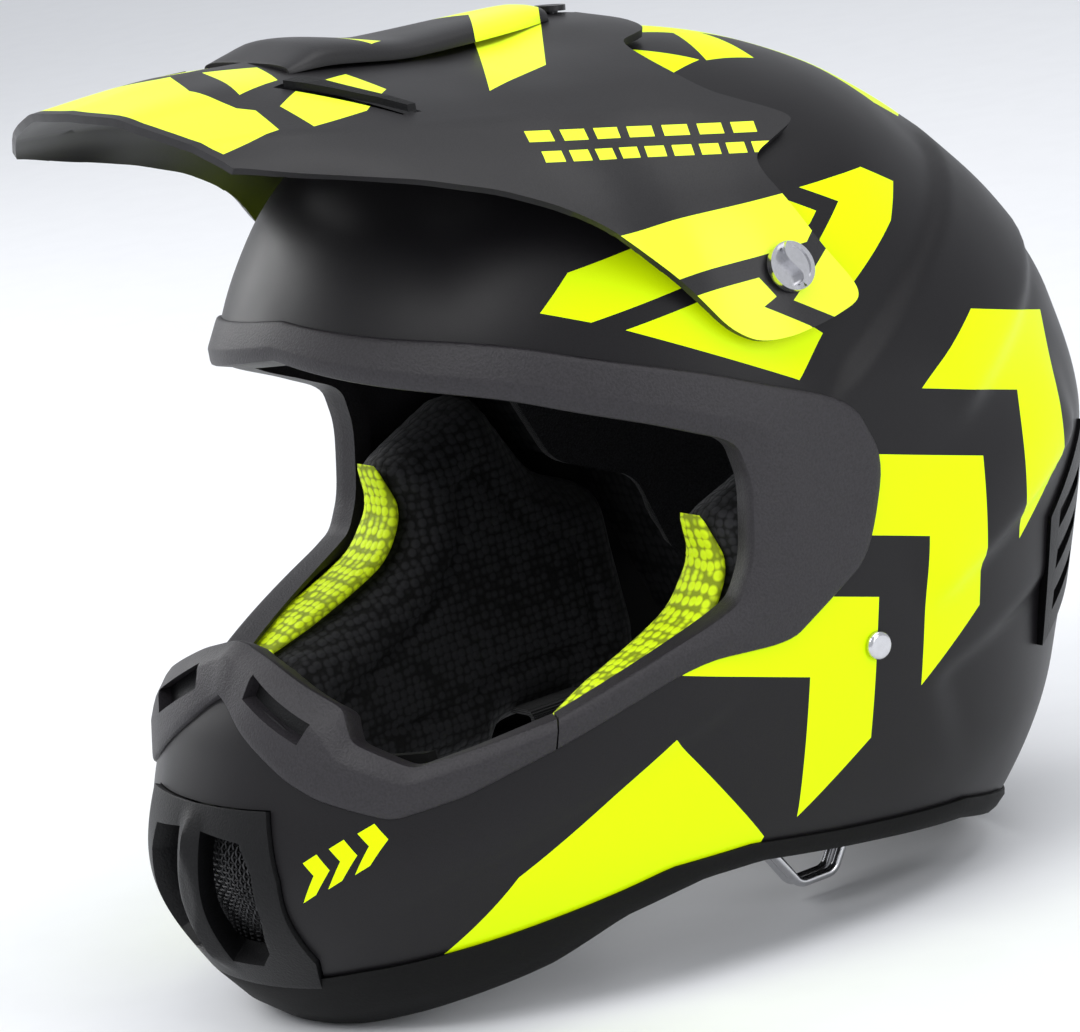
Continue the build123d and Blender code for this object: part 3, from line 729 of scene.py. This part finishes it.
# ------------------------------------------------------------------ rubber edge
def base_trim():
    # share of the height from rim to lip, and mm outside the form
    profile = [(1.0, 0.15), (1.02, 1.1), (0.9, 1.9), (0.45, 2.1), (0.12, 1.6), (0.0, 0.3), (0.0, -4.5),
               (0.12, -6.3), (0.45, -6.9), (0.95, -6.9), (1.0, -6.0), (1.0, -3.8), (0.5, -3.7), (0.5, -0.1)]
    rim_y, rim_z = zip(*RIM)
    lip_y, lip_z = zip(*LIP)
    rows = []
    for t in np.linspace(-math.pi, math.pi, 260, endpoint=False):
        z = 10.0
        for _ in range(4):   # the rim's height depends on y and y on the height: four rounds settle them
            y = form(t, z)[1]
            z = np.interp(y, rim_y, rim_z)
        top = max(np.interp(y, lip_y, lip_z), z + TRIM_FLOOR + 1.0)
        heights = np.array([z + (top - z) * h for h, _ in profile])
        rows.append(on_form(np.full(len(profile), t), heights, np.array([d for _, d in profile])))
    points = np.array(rows)
    points[..., 2] = np.maximum(points[..., 2], 0.0)
    bm, _ = sheet_grid(points, closed_across=True, closed_along=True)
    bmesh.ops.recalc_face_normals(bm, faces=bm.faces)
    return piece("edge_rubber_moulded", bm, [RUBBER], "helmet", ("base_trim",), smooth_angle=45)


# ------------------------------------------------------------------ peak
PEAK = {  # half sections of the peak, from its middle out to the hem: y: (x, z)
    -172: [(0, 297), (24, 296), (33, 294), (42, 291.5), (50, 289), (62, 283), (69, 277), (74, 266),
           (78, 250)],
    -126: [(0, 300.5), (24, 298), (37, 294), (49, 289.5), (60, 285), (70, 277), (76, 269), (82, 256),
           (86, 240)],
    -98: [(0, 299), (24, 296), (40, 291.5), (54, 286), (66, 280), (78, 271), (88, 261), (95, 246),
          (100, 225)],
    -58: [(0, 293), (24, 290), (42, 286), (59, 280.5), (73, 274), (90, 260), (104, 243), (111, 225),
          (116, 200)],
    -40: [(0, 290), (24, 288), (44, 284.5), (62, 279), (77, 271), (98, 252), (110, 234), (116.5, 214),
          (121, 190)],
    -20: [(0, 289.5), (22, 287.5), (44, 283.7), (64, 277), (81, 267), (103, 242), (111.5, 224), (117.5, 208),
          (122.5, 186)],
    5: [(0, 291), (20, 289), (44, 283.2), (67, 274.7), (87, 262.5), (107.2, 239), (115, 223.3),
        (120.8, 207.6),
        (125, 186)],
    20: [(0, 289.5), (20, 287.8), (44, 282.4), (67, 273.8), (90, 259), (107.1, 239), (115, 223.2),
         (120.7, 207.6), (125, 186)],
    38: [(0, 283.6), (20, 283), (44, 280), (67, 272), (92, 256), (107, 238.6), (114.8, 223), (120.4, 207.5),
         (124.8, 186)]}
PEAK_SIDE = [(-200, 282), (-150, 280), (-131, 274), (-98, 265), (-76, 257), (-61, 249), (-50, 240.5),
             (-42, 231),
             (-32, 220), (-27, 213), (-20, 202), (-12, 196), (-1, 195), (14, 196.5), (27, 199.5), (28, 204),
             (21, 217), (14.5, 235), (11.5, 243), (13, 248), (35, 254), (30, 258), (14, 267), (8, 276),
             (8, 283), (28, 284), (28, 320), (-200, 320)]
PEAK_TIP_Y, PEAK_CORNER = -165.0, (66.0, -150.0)
CREASE_POINT = 4             # the point of each half section that stays a sharp edge between deck and wing
PEAK_THICKNESS = 2.6
DECK_Z, WING_X = 262, 85     # marks on the deck lie above, marks on the wings below and outside
HOLE_Y, HOLE_Z = 3.5, 3.4    # half sizes of the hole for the side fastener
SLOT_Y, SLOT_HALF, SLOT_R = 16.4, 5.4, 3.1             # the centre screw's slot in the deck


def softened(outline, radius, bend=5):
    """Rounds each corner of an outline by up to radius."""
    out = []
    count = len(outline)
    for i, here in enumerate(outline):
        here = np.array(here, float)
        before, after = (np.array(outline[k % count], float) for k in (i - 1, i + 1))
        arms = []
        for other in (before, after):
            length = np.linalg.norm(other - here)
            arms.append(here + (other - here) / length * min(radius, 0.45 * length))
        for step in range(bend + 1):
            t = step / bend
            out.append(tuple(arms[0] * (1 - t) ** 2 + 2 * here * t * (1 - t) + arms[1] * t ** 2))
    return out


def peak_points(y_step=3.0, fine=5):
    """Rows of points across the peak, smooth on each side of the crease."""
    ys = np.array(sorted(PEAK), float)
    table = np.array([PEAK[int(y)] for y in ys], float)
    fine_y = np.arange(ys[0], ys[-1] + 0.01, y_step)
    columns = np.stack([np.stack([smooth(ys, table[:, k, c])(fine_y) for c in (0, 1)], -1)
                        for k in range(table.shape[1])], 1)
    rows = []
    index = np.arange(table.shape[1])
    for y, half in zip(fine_y, columns):
        inner = np.linspace(0, CREASE_POINT, CREASE_POINT * fine + 1)
        outer = np.linspace(CREASE_POINT, index[-1], (index[-1] - CREASE_POINT) * fine + 1)[1:]
        deck, wing = slice(0, CREASE_POINT + 1), slice(CREASE_POINT, None)
        x, z = (np.concatenate([smooth(index[deck], half[deck, c])(inner),
                                smooth(index[wing], half[wing, c])(outer)]) for c in (0, 1))
        x[0] = 0.0
        full_x, full_z = np.concatenate([-x[:0:-1], x]), np.concatenate([z[:0:-1], z])
        rows.append(np.stack([full_x, np.full(len(full_x), y), full_z], -1))
    return np.array(rows)


def peak_nose(margin=0.0):
    """Top-view outline of the peak's front edge."""
    corner_x, corner_y = PEAK_CORNER
    rise = corner_y - PEAK_TIP_Y
    radius = (corner_x ** 2 + rise ** 2) / (2 * rise)
    span = math.asin(corner_x / radius)
    return [(radius * math.sin(a), PEAK_TIP_Y + margin + radius * (1 - math.cos(a)))
            for a in np.linspace(-span, span, 17)]


# top-view half marks on the deck, after the one at the front edge; the last runs on over the scoop
DECK_FRONT = [(0, -127), (22, -134), (41, -130), (45, -126), (58, -127), (61, -149)]
SPINE_MARK = [(0, -16), (58, -51), (49, -23), (0, 11)]
DECK_MARKS = [
    [(4, -118), (10, -102), (29, -107), (34, -124)],
    [(31, -84), (46, -80), (57, -95), (60, -116), (46, -118), (38, -106)],
    SPINE_MARK]
INTAKE = [(34, -112), (62, -86), (62, -79), (30, -101)]
# side-view marks on the wings
WING_MARKS = [
    [(-60, 237), (14.5, 235.5), (30, 235), (30, 226), (19.3, 223.4), (15.4, 220.4), (-32, 220), (-60, 219.5)],
    [(-28, 214), (-5.5, 214.3), (-2, 207.7), (-7, 205.7), (6.8, 196.5), (12, 190), (-20, 190), (-45, 205),
     (-45, 214)],
    [(21.2, 217), (3.3, 205.3), (16.4, 197), (24, 190), (40, 200), (34, 217)]]
# two rows of plain blocks in place of the words on each wing: (drop, number of blocks)
BLOCK_ROWS = [(0.0, 7), (6.0, 9)]
BLOCK_START, BLOCK_RUN, BLOCK_TOP = -56, 78, 266.6
BLOCK_SHARE, BLOCK_SLOPE, BLOCK_HEIGHT, BLOCK_LEAN = 0.72, 0.178, 3, 1.2


def word_blocks():
    blocks = []
    for drop, count in BLOCK_ROWS:
        for k in range(count):
            start, run = BLOCK_START + k * BLOCK_RUN / count, BLOCK_RUN / count * BLOCK_SHARE
            left = BLOCK_TOP - drop - (start - BLOCK_START) * BLOCK_SLOPE
            right = left - BLOCK_SLOPE * run
            blocks.append([(start, left), (start + run, right),
                           (start + run + BLOCK_LEAN, right + BLOCK_HEIGHT),
                           (start + BLOCK_LEAN, left + BLOCK_HEIGHT)])
    return blocks


def on_deck(centre):
    return centre.z > DECK_Z


def on_wings(centre):
    return abs(centre.x) > WING_X and centre.z < DECK_Z


def on_blocks(centre):
    return 60 < abs(centre.x) < 104 and centre.z > 240


def peak():
    bm, _ = sheet_grid(peak_points())
    if bm.faces[:][0].normal.z < 0:
        bmesh.ops.reverse_faces(bm, faces=bm.faces)
    cut_away(bm, softened(PEAK_SIDE, 5.0), SIDE, outside=True)
    cut_away(bm, peak_nose() + [(150, -60), (150, 60), (-150, 60), (-150, -60)], TOP, outside=True)
    hinge_hole = [(HINGE_Y + HOLE_Y * math.cos(a), HINGE_Z + HOLE_Z * math.sin(a))
                  for a in np.arange(12) * math.pi / 6]
    cut_away(bm, hinge_hole, SIDE)
    slot = []
    for a in np.arange(16) * math.pi / 8:
        end = SLOT_HALF if math.sin(a) > 0 else -SLOT_HALF
        slot.append((SLOT_R * math.cos(a), SLOT_Y + end + SLOT_R * math.sin(a)))
    cut_away(bm, slot, TOP, keep=lambda c: c.z > 270)
    front_edge = [(x, y) for x, y in peak_nose(3.0) if 0 <= x < 59][::-1]
    for flip in (1, -1):
        for outline in [DECK_FRONT + front_edge] + DECK_MARKS:
            paint(bm, flipped(outline, flip), TOP, MARKED, on_deck)
        cut_away(bm, flipped(INTAKE, flip), TOP, keep=on_deck)
    for outline in WING_MARKS:
        paint(bm, outline, SIDE, MARKED, on_wings)
    for outline in word_blocks():
        paint(bm, outline, SIDE, MARKED, on_blocks)
    return piece("peak_moulded", bm, [PEAK_BLACK, PEAK_YELLOW, PEAK_BLACK, PEAK_BLACK], "peak",
                 ("peak",), thickness=PEAK_THICKNESS, hidden=HIDDEN, smooth_angle=28)


# the scoop's cross-sections: y, half width, z of its feet and of its top
SCOOP = [(-100, 25, 296.0, 299.0), (-93, 25.4, 295.6, 301.2), (-86, 25, 294.9, 303.0),
         (-50, 22, 290.4, 296.8), (-8, 16, 289.4, 296.0), (2, 14, 289.6, 295.6),
         (5.5, 13, 289.6, 294.4)]
SCOOP_SINK = 0.6             # how far its feet reach into the deck


def peak_scoop():
    ys, halves, feet, tops = (np.array(c, float) for c in zip(*SCOOP))
    rows = []
    for y in np.arange(-100, 5.6, 2.5):
        half, foot, top = (float(smooth(ys, c)(y)) for c in (halves, feet, tops))
        row = []
        for a in np.linspace(0.02, math.pi - 0.02, 33):
            z = foot - SCOOP_SINK + (top - foot + SCOOP_SINK) * math.sin(a) ** 0.5
            row.append((half * power_wave(math.cos(a), 0.62), y, z))
        rows.append(row)
    bm, _ = sheet_grid(np.array(rows))
    if bm.faces[:][16].normal.z < 0:
        bmesh.ops.reverse_faces(bm, faces=bm.faces)
    for flip in (1, -1):
        paint(bm, flipped(SPINE_MARK, flip), TOP, MARKED)
        paint(bm, flipped([(9, -72), (16, -60), (20, -66)], flip), TOP, MARKED)
    return piece("peak_scoop_moulded", bm, [PEAK_BLACK, PEAK_YELLOW, PEAK_BLACK, PEAK_BLACK], "peak",
                 ("peak_scoop",), thickness=1.8, hidden=HIDDEN, bevel=0.5, smooth_angle=35)


# ------------------------------------------------------------------ soft parts
def edge_distance(outline, y, z):
    """Distance of points to an outline's nearest edge."""
    best = np.full(np.shape(y), 1e9)
    for (ay, az), (by, bz) in zip(outline, outline[1:] + outline[:1]):
        run = np.array([by - ay, bz - az], float)
        t = np.clip(((y - ay) * run[0] + (z - az) * run[1]) / (run @ run), 0, 1)
        best = np.minimum(best, np.hypot(y - ay - t * run[0], z - az - t * run[1]))
    return best


PAD_OUTER, PAD_INNER = 10.5, 45.5      # insets of the pad's two faces
PAD_BORDER = PAD_OUTER + 14            # inset where the faces meet, at the pad's edge
PAD_ROLL = 17.0                        # how far in from its edge the pad reaches full depth
PAD_STEP = 3.0
SEAM_DEPTH, SEAM_PLACE, SEAM_WIDTH = 2.2, 20, 1.6
PAD_FACE_X, PAD_EDGE_EXTRA = 58.0, 8   # the pad comes no nearer to the middle than this
SIDE_NAMES = {1: "left", -1: "right"}


def cheek_pad(side):
    """Two sheets with one outline, bulged apart and joined at their edges, with one sewn channel."""
    outline = softened(CHEEK_ZONE, 9.0, bend=4)
    bm, _ = sheet_grid(np.array([[(0.0, y, z) for y in np.arange(-100, 68, PAD_STEP)]
                                 for z in np.arange(32, 166, PAD_STEP)]))
    cut_away(bm, outline, SIDE, outside=True)
    long_edges = [e for e in bm.edges if e.is_boundary and e.calc_length() > 4]
    bmesh.ops.subdivide_edges(bm, edges=long_edges, cuts=1)
    copy = bmesh.ops.duplicate(bm, geom=bm.verts[:] + bm.edges[:] + bm.faces[:])
    outer_face = {v for v in copy["geom"] if isinstance(v, bmesh.types.BMVert)}
    for v in bm.verts:
        y, z = v.co.y, v.co.z
        depth = float(edge_distance(outline, y, z))
        rise = math.sqrt(max(0.0, 1 - (1 - min(depth / PAD_ROLL, 1)) ** 2))
        if v in outer_face:
            inset = PAD_BORDER - (PAD_BORDER - PAD_OUTER) * min(1.0, rise * 1.4)
        else:
            seam = SEAM_DEPTH * math.exp(-((depth - SEAM_PLACE) / SEAM_WIDTH) ** 2)
            inset = PAD_BORDER + (PAD_INNER - PAD_BORDER) * rise - seam
        place = form(float(turn_at(y, z)), z, inset)
        v.co = Vector((side * max(place[0], PAD_FACE_X + PAD_EDGE_EXTRA * (1 - rise)), y, z))
    bmesh.ops.remove_doubles(bm, verts=bm.verts[:], dist=0.4)
    bmesh.ops.recalc_face_normals(bm, faces=bm.faces)
    name = SIDE_NAMES[side]
    pad = piece(f"cheek_pad_{name}_padded", bm, [AIR_MESH], "helmet", (f"cheek_pad_{name}",),
                smooth_angle=75)
    return pad


# side-view line that the bright strip follows, and how far ahead of it the strip's middle lies
INSERT_LINE = [(-25, 144), (-20, 127), (-31, 111), (-49, 103), (-86, 90)]
INSERT_AHEAD = 2.2
INSERT_CROWN, INSERT_BACK = 2.6, 1.6   # half heights of its front and back
INSERT_LOW, INSERT_HIGH = 84, 100      # x of its two long edges at the top
INSERT_TAPER = 3                       # how far each edge draws in at the ends


def cheek_insert(side):
    """Crowned strip of open mesh along the pad's edge at the eye port."""
    line = rounded([(0, y, 0, z) for y, z in INSERT_LINE], share=0.4, longest=2.5)[:, [1, 3]]
    rows = []
    last = len(line) - 1
    for i, (y, z) in enumerate(line):
        before, after = line[max(i - 1, 0)], line[min(i + 1, last)]
        way = (after - before) / np.linalg.norm(after - before)
        out = np.array([-way[1], way[0]])
        if out[0] > 0:
            out = -out
        y, z = y + INSERT_AHEAD * out[0], z + INSERT_AHEAD * out[1]
        share = i / last
        ends = min(1.0, 6 * share, 6 * (1 - share)) ** 0.5
        widening, narrowing = ease(share / 0.5), INSERT_TAPER * (1 - ends)
        low = INSERT_LOW - 4 * widening + narrowing
        high = INSERT_HIGH + 3 * widening - narrowing
        ring = []
        for a in np.linspace(0, 2 * math.pi, 24, endpoint=False):
            x = (low + high) / 2 + (high - low) / 2 * power_wave(math.cos(a), 0.6)
            tall = INSERT_CROWN if math.sin(a) > 0 else INSERT_BACK
            lift = tall * power_wave(math.sin(a), 0.8) * ends
            ring.append((side * x, y + out[0] * lift, z + out[1] * lift))
        rows.append(ring)
    name = SIDE_NAMES[side]
    strip = piece(f"cheek_insert_{name}_mesh", tube(np.array(rows)), [BRIGHT_MESH], "helmet",
                  (f"cheek_insert_{name}",), smooth_angle=70)
    return strip


RIB_HEIGHT, RIB_SPACING, RIB_WIDTH = 1.4, math.pi / 6, 0.035   # sewn ribs, their places as turns
LINER_MIDDLE_Z = 150.0


def comfort_liner():
    points, turn, _ = shell_grid(turns=200, step=4.0, inset=40.0, bottom=60.0)
    off_rib = np.mod(turn + RIB_SPACING / 2, RIB_SPACING) - RIB_SPACING / 2
    ribs = RIB_HEIGHT * np.exp(-(off_rib / RIB_WIDTH) ** 2)
    centre = np.array([0, MIDDLE_Y, LINER_MIDDLE_Z])
    way = (points - centre) / np.linalg.norm(points - centre, axis=-1, keepdims=True)
    points = points + way * ribs[None, :, None]
    bm, verts = sheet_grid(points, closed_across=True)
    bm.faces.new(verts[-1])
    bm.normal_update()
    cut_away(bm, softened(CROWN_ZONE, 6.0), SIDE, outside=True)
    lining = piece("comfort_liner_padded", bm, [LINER], "helmet", ("comfort_liner",),
                   thickness=5.0, offset=1.0, bevel=1.5, smooth_angle=70)
    return lining


ROLL_HALF_SPAN = 0.98                  # turn from the middle of the back to each end
ROLL_INSET, ROLL_Z = 24, 38            # its middle line
ROLL_HALF_DEPTH, ROLL_HALF_HEIGHT = 15.5, 18
ROLL_TUCKS, TUCK_DEPTH = 6, 0.10


def neck_roll():
    """Padded roll with closed ends, drawn in a little at each sewn tuck."""
    rows = []
    for share in np.arange(60) / 59:
        t = math.pi + ROLL_HALF_SPAN * (2 * share - 1)
        ends = min(1.0, math.sqrt(max(0.0, 1 - (1 - min(1, 9 * min(share, 1 - share))) ** 2)) + 0.04)
        tuck = 1 - TUCK_DEPTH * math.exp(-((share * ROLL_TUCKS) % 1 - 0.5) ** 2 / 0.004)
        ring = []
        for a in np.linspace(0, 2 * math.pi, 28, endpoint=False):
            inset = ROLL_INSET + ROLL_HALF_DEPTH * ends * tuck * power_wave(math.cos(a), 0.8)
            z = ROLL_Z + ROLL_HALF_HEIGHT * ends * tuck * power_wave(math.sin(a), 0.8)
            ring.append(form(t, z, inset))
        rows.append(ring)
    roll = piece("neck_roll_padded", tube(np.array(rows)), [LINER], "helmet", ("neck_roll",),
                 smooth_angle=70)
    return roll


# ------------------------------------------------------------------ the object
outer_shell()
eyeport_trim()
nose_guard()
mouth_vent()
mouth_screen()
chin_foam()
base_trim()
peak()
peak_scoop()
comfort_liner()
neck_roll()
for side in (1, -1):
    cheek_pad(side)
    cheek_insert(side)

# pieces that stay as the CAD made them
CAD_MATERIALS = {
    "breath_deflector": RUBBER, "rear_vent_left": TRIM_DARK, "rear_vent_right": TRIM_DARK,
    "crown_foam": FOAM, "cheek_foam_left": FOAM, "cheek_foam_right": FOAM, "liner_snaps": SNAP,
    "threaded_inserts": METAL, "side_fastener_left": METAL, "side_fastener_right": METAL,
    "centre_screw": BLACK_METAL, "peak_vent_bars": TRIM_DARK, "strap_rivets": METAL, "strap_anchors": METAL,
    "strap_left": WEBBING, "strap_right": WEBBING, "strap_snap": SNAP, "d_ring_inner": METAL,
    "d_ring_outer": METAL}
for node, finish in CAD_MATERIALS.items():
    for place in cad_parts[node].material_slots:
        place.link = "OBJECT"
        place.material = finish


# ------------------------------------------------------------------ camera, lights and floor
CAMERA_TARGET = Vector((-0.039, 0.004, 0.122))          # m
CAMERA_BACK = Vector((0.81718, -0.53222, 0.22127))      # from the target to the camera
CAMERA_UP = Vector((-0.09022, 0.26106, 0.96110))
CAMERA_DISTANCE, LENS, SENSOR = 1.724, 173.07, 36
LAMP_TARGET = Vector((0, 0, 0.13))
# place and size in m, and power in W
LAMPS = {
    "key": ((0.2, -1.5, 1.7), (1.4, 0.9), 19),
    "top": ((0.5, 0.3, 2.0), (1.6, 1.6), 16),
    "side": ((1.9, 0.5, 0.9), (0.8, 1.4), 11),
    "far": ((-1.8, -0.4, 1.0), (0.8, 1.4), 13)}
SKY, SKY_STRENGTH = (0.86, 0.88, 0.92, 1), 0.75
FLOOR_SIZE = 30


def studio():
    scene = bpy.context.scene
    back = CAMERA_BACK.normalized()
    right = CAMERA_UP.cross(back).normalized()
    up = back.cross(right)
    camera = bpy.data.objects.new("camera", bpy.data.cameras.new("camera"))
    bpy.context.collection.objects.link(camera)
    turn = Matrix((right, up, back)).transposed().to_4x4()
    camera.matrix_world = Matrix.Translation(CAMERA_TARGET + CAMERA_DISTANCE * back) @ turn
    camera.data.lens = LENS
    camera.data.sensor_width = SENSOR
    scene.camera = camera

    for name, (place, size, power) in LAMPS.items():
        light = bpy.data.lights.new(name, "AREA")
        light.shape = "RECTANGLE"
        light.size, light.size_y = size
        light.energy = power
        lamp = bpy.data.objects.new(name, light)
        bpy.context.collection.objects.link(lamp)
        lamp.location = place
        lamp.rotation_euler = (LAMP_TARGET - Vector(place)).to_track_quat("-Z", "Y").to_euler()

    world = bpy.data.worlds.new("studio")
    scene.world = world
    world.use_nodes = True
    sky = world.node_tree.nodes["Background"]
    sky.inputs["Color"].default_value = SKY
    sky.inputs["Strength"].default_value = SKY_STRENGTH
    scene.view_settings.view_transform = "Standard"

    bpy.ops.mesh.primitive_grid_add(x_subdivisions=8, y_subdivisions=8, size=FLOOR_SIZE)
    floor = bpy.context.object
    floor.name = "floor"
    pale = material("pale_floor", (0.84, 0.85, 0.87), 0.7, scale=40, depth=0.0, tint=0.01)
    floor.data.materials.append(pale)


studio()
